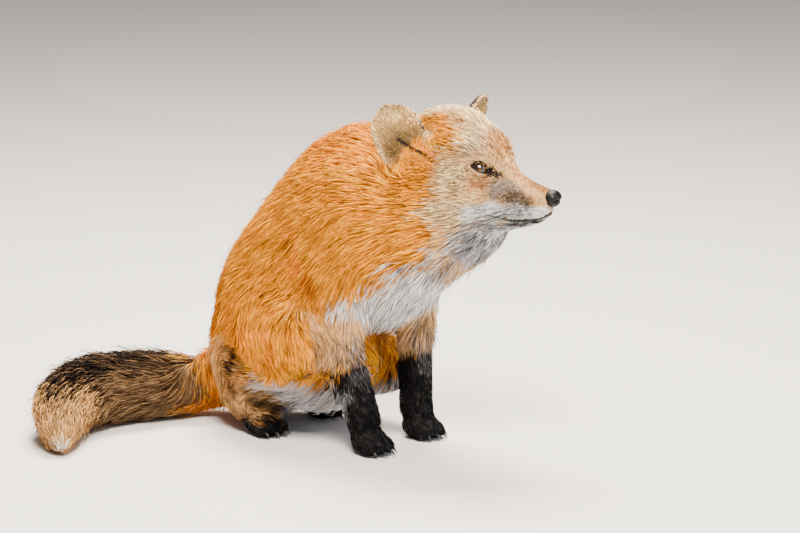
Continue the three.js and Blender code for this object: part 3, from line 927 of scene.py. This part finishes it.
# Bare black skin, moist: soft small lights on fine pores, and no colour.
PORES_PER_METRE = 1500.0
wet_skin = new_material("moist_black_skin")
_, normal = grained(wet_skin, PORES_PER_METRE, 2.0, 0.25, 0.0005)
surfaced(wet_skin, Base_Color=linear(0x0a0808), Roughness=0.5, Specular_IOR_Level=0.25, Normal=normal)
for s, side in SIDES:
    centre, axes = eye_frame(s)
    turns = np.linspace(-math.pi, math.pi, RIM["steps"], endpoint=False)
    edge = lid_line(turns)
    run = np.roll(edge, -1, 0) - np.roll(edge, 1, 0)
    beside = unit(np.stack([run[:, 1], -run[:, 0]], -1))
    at_front = np.exp(-(turns / 0.32) ** 2)
    at_rear = np.exp(-((np.pi - np.abs(turns)) / 0.4) ** 2)
    wide = RIM["lower"] + (RIM["upper"] - RIM["lower"]) * eased(np.sin(turns), -0.3, 0.5)
    wide = wide + (RIM["corner"] - wide) * at_front + (RIM["rear"] - wide) * at_rear
    rings = []
    for spot, away, width in zip(edge, beside, wide):
        ring = []
        for corner in all_round(RIM["sides"]):
            along, up_across = spot + away * (width * (0.5 + 0.55 * math.cos(corner)))
            shell = EYE["radius"] + 0.35 + RIM["thick"] * math.sin(corner) + 0.1 * max(0, width - 2)
            out = math.sqrt(max(shell ** 2 - along ** 2 - up_across ** 2, 1))
            ring.append(centre + np.array([out, along, up_across]) @ axes)
        rings.append(ring)
    placed("eye_rim_" + side, swept("eye_rim_" + side, rings, closed=True), wet_skin, "nose_leather")

# ---- the nose ----
# A moist black pad of pebbled leather, wide above and narrow below, with two comma nostrils and the groove
# that parts the upper lip.
PAD = {"middle": (-7.5, 0, -3.5), "long": 8.2, "wide": 9.6, "high": 9.0, "pitch": 12}
nose_bm = bmesh.new()
bmesh.ops.create_icosphere(nose_bm, subdivisions=6, radius=1)
ball = np.array([v.co for v in nose_bm.verts])
front, aside, rise = ball.T
sides = np.abs(aside)
holes = np.exp(-(((sides - 0.46) / 0.2) ** 2 + ((rise + 0.02) / 0.2) ** 2)) * (front > 0)
wings = np.exp(-(((sides - 0.86) / 0.26) ** 2 + ((rise + 0.16) / 0.09) ** 2)) * (front > -0.3)
groove = np.exp(-(aside / 0.07) ** 2) * eased(-rise, -0.25, 0.2) * (front > 0)
shape = 1 + 0.06 * np.exp(-(((sides - 0.72) / 0.25) ** 2 + ((rise - 0.25) / 0.3) ** 2))
shape = shape - 0.36 * holes - 0.17 * wings - 0.10 * groove
taper = np.where(rise < 0, 1 - 0.34 * rise ** 2, 1 + 0.05 * rise)
pad = np.column_stack([
    np.sign(front) * np.abs(front) ** 0.85 * PAD["long"] * shape,
    aside * PAD["wide"] * taper * shape,
    rise * PAD["high"] * (1 - 0.06 * sides) * shape,
])
pitch = math.radians(PAD["pitch"])
tilt = np.array([[math.cos(pitch), 0, -math.sin(pitch)], [0, 1, 0], [math.sin(pitch), 0, math.cos(pitch)]])
place(nose_bm, to_row(from_head(pad @ tilt + PAD["middle"])))
bmesh.ops.recalc_face_normals(nose_bm, faces=nose_bm.faces)
# Pebbled black leather, kept moist: a broad soft light over pebbles of three quarters of a millimetre.
PEBBLE = 0.75
leather = new_material("moist_nose_leather")
coordinates = add(leather, "ShaderNodeTexCoord")
pebbles = add(leather, "ShaderNodeTexVoronoi", {"feature": "SMOOTH_F1"}, Vector=coordinates.outputs["Object"],
              Scale=1000 / PEBBLE)
bump = add(leather, "ShaderNodeBump", {"invert": True}, Height=pebbles.outputs["Distance"], Strength=0.3,
           Distance=0.0004)
surfaced(leather, Base_Color=linear(0x070607), Roughness=0.45, Specular_IOR_Level=0.22,
         Normal=bump.outputs["Normal"])
placed("nose_pad", mesh_of("nose_pad", nose_bm), leather, "nose_leather", "nose")

# ---- the lips ----
# The lips' bare black edge shows along the shut mouth, thickest under the nose and gone at the corners.
LIP = {"front": 2.2, "corner": 0.35, "sides": 10, "steps": 120, "out": 0.15}
skin_mesh.calc_loop_triangles()
triangles = np.zeros(len(skin_mesh.loop_triangles) * 3, np.int32)
skin_mesh.loop_triangles.foreach_get("vertices", triangles)
triangles = triangles.reshape(-1, 3)
surface = BVHTree.FromPolygons([tuple(p) for p in points], [tuple(t) for t in triangles.tolist()])
stations = [*(np.array(MOUTH_LINE[:0:-1]) * (1, -1, 1)).tolist(), *MOUTH_LINE]
line = from_head(run_through(stations, LIP["steps"]))
share = np.abs(np.linspace(-1, 1, LIP["steps"]))
radius = LIP["front"] + (LIP["corner"] - LIP["front"]) * eased(share, 0.4, 1)
feet = [surface.find_nearest(spot)[:2] for spot in line.tolist()]
feet = np.array([[*foot, *above] for foot, above in feet])
for turn in range(6):
    feet[1:-1] = feet[1:-1] * 0.5 + (feet[:-2] + feet[2:]) * 0.25
line = feet[:, :3]
rings = []
for index, foot in enumerate(line):
    above = unit(feet[index, 3:])
    along = unit(line[min(index + 1, len(line) - 1)] - line[max(index - 1, 0)])
    beside = unit(np.cross(along, above))
    rings.append([
        foot + above * (LIP["out"] + math.sin(a) * radius[index] * 0.6) + beside * math.cos(a) * radius[index]
        for a in all_round(LIP["sides"])
    ])
placed("lip_edge", swept("lip_edge", rings), wet_skin, "nose_leather")

# ---- the claws ----
# Four dark horn claws on each paw, curved down from the toes' ends to the floor.
TOES = (-15, -5.2, 5.2, 15)
CLAW_RUN = [(28, 7.4, 1.8), (31, 7, 1.7), (33.4, 5.8, 1.45), (35.4, 3.8, 1.0), (36.4, 2.0, 0.35)]
CLAW = {"sides": 10, "steps": 12, "narrow": 0.75, "finest": 0.1, "off_floor": 0.3, "outer_back": 0.6}
# Dark horn, worn smooth by the ground: a dull sheen, with faint lines of growth.
GRAINS_PER_METRE = 700.0
horn = new_material("dark_horn")
_, normal = grained(horn, GRAINS_PER_METRE, 2.0, 0.2, 0.0004)
surfaced(horn, Base_Color=linear(0x161210), Roughness=0.45, Normal=normal)
for name, paw in PAWS.items():
    claws = bmesh.new()
    turn = math.radians(paw["turn"])
    for aside in TOES:
        rings = []
        for ahead, high, radius in run_through(CLAW_RUN, CLAW["steps"]):
            ahead = ahead + paw["long"] - abs(aside) * CLAW["outer_back"]
            radius = max(radius, CLAW["finest"])
            ring = []
            for corner in all_round(CLAW["sides"]):
                across = aside + math.cos(corner) * radius * CLAW["narrow"]
                level = max(CLAW["off_floor"], high + math.sin(corner) * radius)
                ring.append([
                    paw["at"][0] + ahead * math.cos(turn) - across * math.sin(turn),
                    paw["at"][1] + ahead * math.sin(turn) + across * math.cos(turn), level,
                ])
            rings.append(ring)
        claws.from_mesh(swept("claw", rings))
    placed("claws_" + name, mesh_of("claws_" + name, claws), horn, "nose_leather")

# ---- the whiskers ----
# Stiff black tapered bristles: four rows on each side of the muzzle, swept back past the cheeks, and a few
# over each eye.
WHISKER_ROWS = [(-20, -7.5, 4, 38), (-19, -11, 5, 50), (-20, -14.5, 6, 62), (-23, -18, 5, 56)]
BROW_WHISKERS = [(-72, 22, 38, 30), (-76, 25, 39, 38), (-80, 27, 40, 34)]
WHISKERS = {"thick": 0.7, "brow_thick": 0.36, "sink": 1.5, "steps": 10, "taper": 0.85}
whisker_bm = bmesh.new()


def rooted(spot):
    """Where a bristle at a place on the head has its root in the skin, and the way out there."""
    start, above, _, _ = surface.find_nearest(from_head(spot))
    above = np.array(above)
    return np.array(start) - above * WHISKERS["sink"], above


def bristle(start, first, last, long, thick):
    """A bristle that leaves start one way and ends up another, thick at its root and fine at its tip."""
    rings = []
    for share in np.linspace(0, 1, WHISKERS["steps"]):
        spot = start + long * (first * share + (last - first) * share ** 2 / 2)
        along = unit(first + (last - first) * share)
        beside = unit(np.cross(along, (0, 0, 1)))
        over = np.cross(beside, along)
        radius = thick / 2 * (1 - WHISKERS["taper"] * share)
        rings.append([spot + (beside * math.cos(a) + over * math.sin(a)) * radius for a in (0, 2.1, 4.2)])
    whisker_bm.from_mesh(swept("bristle", rings))


for s in (-1, 1):
    for back_to, level, count, long in WHISKER_ROWS:
        for number in range(count):
            start, above = rooted([back_to - number * 6.5, s * (14 + number * 1.5), level - number * 0.8])
            first = unit(above * 0.75 + np.array([-0.8, 0, rng.uniform(-0.2, 0.15)]) @ HEAD_AXES)
            last = unit(np.array([-0.93, s * 0.30, rng.uniform(-0.4, -0.05)]) @ HEAD_AXES)
            bristle(start, first, last, long * rng.uniform(0.85, 1.2) * (1 + number * 0.12),
                    WHISKERS["thick"])
    for back_to, aside, level, long in BROW_WHISKERS:
        start, above = rooted([back_to, s * aside, level])
        first = unit(above + np.array([0.1, 0, 0.3]) @ HEAD_AXES)
        last = unit(above * 0.4 + np.array([-0.7, s * 0.25, 0.3]) @ HEAD_AXES)
        bristle(start, first, last, long, WHISKERS["brow_thick"])
placed("whiskers", mesh_of("whiskers", whisker_bm), horn, "coat_black")

# ---- the coat ----
# Hair stands in thin tapered tufts, each a closed spindle with its root in the skin, that follow the body at
# the coat's depth and draw together in locks at their tips. Face and feet have the shortest and finest.
loops = np.zeros(len(triangles) * 3, np.int32)
skin_mesh.loop_triangles.foreach_get("loops", loops)
loops = loops.reshape(-1, 3)
layout = np.zeros(len(skin_mesh.loops) * 2, np.float32)
skin_mesh.uv_layers[0].uv.foreach_get("vector", layout)
layout = layout.reshape(-1, 2)
corners = points[triangles]
areas = np.linalg.norm(np.cross(corners[:, 1] - corners[:, 0], corners[:, 2] - corners[:, 0]), axis=1) / 2

PIECES = {
    "coat_face": ["head", "muzzle", "lower_jaw"],
    "coat_ears": ["ear_right", "ear_left"],
    "coat_neck": ["neck"],
    "coat_chest": ["chest"],
    "coat_shoulders": ["upper_arm_right", "upper_arm_left"],
    "coat_loin": ["loin"],
    "coat_rump": ["rump"],
    "coat_thighs": ["thigh_right", "thigh_left"],
    "coat_belly": ["belly"],
    "coat_legs": [f"{part}_{side}" for part in ("forearm", "forepaw", "shank", "hind_foot", "hind_paw")
                  for side in ("right", "left")],
    "coat_tail": ["tail_base", "tail_middle", "tail_tip"],
}
piece_of = {part: piece for piece, parts in PIECES.items() for part in parts}
piece_names = list(PIECES)
vertex_piece = np.array([piece_names.index(piece_of[part]) for part in part_of])

# Millimetres: a tuft's width and the skin that it has to itself, by the hair's length.
LENGTHS = [0, 4, 8, 14, 24, 40]
WIDTHS = [0.34, 0.4, 0.55, 0.75, 0.95, 1.1]
SHARES = [0.75, 0.95, 1.45, 1.9, 2.5, 2.9]
mean_hair = hair[triangles].mean(1)
wanted = areas * (1 - bare[triangles].mean(1)) / np.interp(mean_hair, LENGTHS, SHARES)
chosen = rng.choice(len(triangles), size=int(wanted.sum()), p=wanted / wanted.sum())
mix = rng.dirichlet((1, 1, 1), len(chosen))


def at_roots(values):
    return (values[triangles[chosen]] * mix[:, :, None]).sum(1)


places = at_roots(points)
up = unit(at_roots(normals))
lie = at_roots(flow)
measures = at_roots(np.column_stack([hair, depth]))
length, cover = measures[:, 0], measures[:, 1]
root_uv = (layout[loops[chosen]] * mix[:, :, None]).sum(1)
piece = vertex_piece[triangles[chosen, mix.argmax(1)]]

# No two hairs are alike. Guard hairs are the few long dark ones, and strays stand clear of the coat. Each
# pair in square brackets goes with short and with long hair, and round brackets hold least and most.
SHORT_TO_LONG = [4, 30]
HAIRS = {
    "wander": [0.1, 0.35], "wave": 0.03, "unruly": 0.13, "long": (0.6, 1.1), "guards": 0.08,
    "guard_long": 1.2, "guard_high": 0.1, "guard_shade": 0.7, "strays": 0.05, "stray_high": 1.5,
    "leaders": [0.15, 0.09], "lean": [0.2, 0.45], "lean_share": (0.3, 1.2), "wide": (0.7, 1.3),
}
# "root" is the brightness at each tuft's root: partly grey underfur, partly painted shade deep in the coat.
SHADES = {"lock": (0.66, 1.25), "own": (0.88, 1.25), "dark": 0.55, "darks": 0.2, "patch": 0.32,
          "patch_wave": 0.045, "short": [0.42, 0.85, 1.2], "shorts": [0.3, 0.35, 0.35], "root": 0.35}
ragged = rng.normal(0, 1, places.shape) * (0.4 + length * 0.1)[:, None]
root_colour, tip_colour = painted(at_roots(outer) + ragged, rng.random(len(places)))
root_colour, tip_colour = with_ears(root_colour, tip_colour, at_roots(ear_masks))

wander = np.array([noise.noise_vector(spot * HAIRS["wave"]) for spot in map(Vector, places)])
lie = lie + wander * np.interp(length, SHORT_TO_LONG, HAIRS["wander"])[:, None]
lie += rng.normal(0, 1, lie.shape) * HAIRS["unruly"]
lie = along_surface(lie, up)
guard = rng.random(len(places)) < HAIRS["guards"]
length = length * rng.uniform(*HAIRS["long"], len(length)) * np.where(guard, HAIRS["guard_long"], 1)
standing = cover * (0.3 + 0.75 * rng.random(len(length)) ** 0.7)
standing = standing + np.where(guard, cover * HAIRS["guard_high"], 0)
stray = (rng.random(len(length)) < HAIRS["strays"]) & (cover > 4)
standing *= np.where(stray, HAIRS["stray_high"], 1)

SINK = 0.8
ON_FLOOR = 0.6  # millimetres to the middle of a tuft that lies on the floor
BANDS = 3
tri_flow = flow[triangles].mean(1)
path = [places - up * SINK]
tangent = lie
at = places
for band in range(1, BANDS + 1):
    ahead = at + tangent * (length / BANDS)[:, None]
    near = [surface.find_nearest(p) for p in ahead.tolist()]
    foot = np.array([n[0] for n in near])
    above = np.array([n[1] for n in near])
    turned = tri_flow[[n[2] for n in near]] * 0.5 + tangent * 0.5
    tangent = along_surface(turned, above)
    rise = np.sin(min(1, band / BANDS * 1.1) * math.pi / 2)
    path.append(foot + above * (standing * rise)[:, None])
    at = foot
path = np.array(path)

# Locks: a share of the tufts lead, and the others lean towards the nearest leader's tip.
leaders = np.flatnonzero(rng.random(len(places)) < np.interp(length, SHORT_TO_LONG, HAIRS["leaders"]))
tree = KDTree(len(leaders))
for index, leader in enumerate(leaders):
    tree.insert(places[leader], index)
tree.balance()
led_by = leaders[[tree.find(spot)[1] for spot in places]]
pull = np.interp(length, SHORT_TO_LONG, HAIRS["lean"]) * rng.uniform(*HAIRS["lean_share"], len(places))
for band in range(1, BANDS + 1):
    path[band] += (path[band, led_by] - path[band]) * (pull * (band / BANDS) ** 1.4)[:, None]
path[:, :, 2] = np.maximum(path[:, :, 2], ON_FLOOR)
lock_shade = rng.uniform(*SHADES["lock"], len(places))[led_by]
dark = rng.random(len(places)) < SHADES["darks"]
own_shade = np.where(dark, SHADES["dark"], 1) * rng.uniform(*SHADES["own"], len(places))
own_shade = np.where(guard, own_shade * HAIRS["guard_shade"], own_shade)
short_or_ear = (cover < 5.5) | (at_roots(ear_masks[:, :1])[:, 0] > 0.5)
own_shade *= np.where(short_or_ear, rng.choice(SHADES["short"], len(places), p=SHADES["shorts"]), 1)
patches = np.array([noise.noise(spot * SHADES["patch_wave"]) for spot in map(Vector, places)])
patch_shade = 1 + SHADES["patch"] * patches

# Clean dry fox hair: each tuft keeps the colours it carries from root to tip, painted root shade among them,
# with only a faint silky light.
coat = new_material("fox_fur")
colour = add(coat, "ShaderNodeAttribute", {"attribute_name": "coat_colour"})
surfaced(coat, Base_Color=colour.outputs["Color"], Roughness=0.65, IOR=1.4, Specular_IOR_Level=0.1)

PATCH = 0.003
RING = np.array([[-0.5, -0.15], [0.5, -0.15], [0, 0.3]])


def tuft_mesh(name, picked, rings):
    """One closed mesh of the picked tufts: a point at the root, rings of three points, a point at the tip."""
    count = len(picked)
    line = path[:, picked] if rings == 2 else path[[0, 1, 3]][:, picked]
    width = np.interp(length[picked], LENGTHS, WIDTHS) * rng.uniform(*HAIRS["wide"], count)
    spots, tones = [line[0]], [np.zeros(count)]
    for ring in range(1, rings + 1):
        along = line[ring + 1] - line[ring - 1]
        side = unit(np.cross(along, up[picked]))
        top = unit(np.cross(side, along))
        size = width * (1.0 if ring == 1 else 0.8)
        for across, high in RING:
            spots.append(line[ring] + side * (size * across)[:, None] + top * (size * high)[:, None])
            tones.append(np.full(count, ring / (rings + 1)))
    spots.append(line[rings + 1])
    tones.append(np.ones(count))
    spots = np.stack(spots, 1)
    tone = np.stack(tones, 1)[:, :, None]
    shade = (lock_shade * own_shade * patch_shade)[picked][:, None, None]
    # The tuft darkens towards its root: partly grey underfur, partly painted shade deep in the coat.
    shade = shade * (SHADES["root"] + 0.65 * np.clip(tone * 1.7, 0, 1))
    tipped = np.clip(tone * 1.3, 0, 1)
    colours = root_colour[picked][:, None] * (1 - tipped) + tip_colour[picked][:, None] * tipped
    per = spots.shape[1]
    faces = [[0, 1 + b, 1 + a] for a, b in ((0, 1), (1, 2), (2, 0))]
    if rings == 2:
        faces += [[1 + a, 1 + b, 4 + b, 4 + a] for a, b in ((0, 1), (1, 2), (2, 0))]
    last = per - 4
    faces += [[last + a, last + b, per - 1] for a, b in ((0, 1), (1, 2), (2, 0))]
    flat = np.concatenate(faces)
    sizes = np.array([len(face) for face in faces])
    mesh = bpy.data.meshes.new(name)
    mesh.vertices.add(count * per)
    mesh.vertices.foreach_set("co", to_row(spots.reshape(-1, 3)).astype(np.float32).ravel())
    corner_vertices = (flat[None] + (np.arange(count) * per)[:, None]).ravel()
    mesh.loops.add(len(corner_vertices))
    mesh.loops.foreach_set("vertex_index", corner_vertices.astype(np.int32))
    totals = np.tile(sizes, count)
    mesh.polygons.add(len(totals))
    mesh.polygons.foreach_set("loop_start", np.concatenate([[0], np.cumsum(totals)[:-1]]).astype(np.int32))
    mesh.polygons.foreach_set("use_smooth", np.ones(len(totals), bool))
    mesh.update(calc_edges=True)
    coloured(mesh, np.clip(colours * shade, 0, 1).reshape(-1, 3))
    corner = np.arange(per)
    spread = np.column_stack([(corner % 3 - 1) / 2, corner / (per - 1) - 0.5]) * PATCH
    uv = (root_uv[picked][:, None] + spread[None]).reshape(-1, 2)[corner_vertices]
    mesh.uv_layers.new(name="OFBake").uv.foreach_set("vector", uv.astype(np.float32).ravel())
    mesh.materials.append(coat)
    return mesh


SHORT = 12
LIMIT = 195000
for index, name in enumerate(piece_names):
    mine = np.flatnonzero(piece == index)
    for kind, picked, rings in (("", mine[length[mine] >= SHORT], 2),
                                ("_short", mine[length[mine] < SHORT], 1)):
        if len(picked) == 0:
            continue
        each = 6 * rings
        parts = math.ceil(len(picked) * each / LIMIT)
        for number, some in enumerate(np.array_split(picked, parts)):
            label = name + kind + (f"_{number + 1}" if parts > 1 else "")
            tufts = in_scene(label, tuft_mesh(label, some, rings))
            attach(tufts, "root")
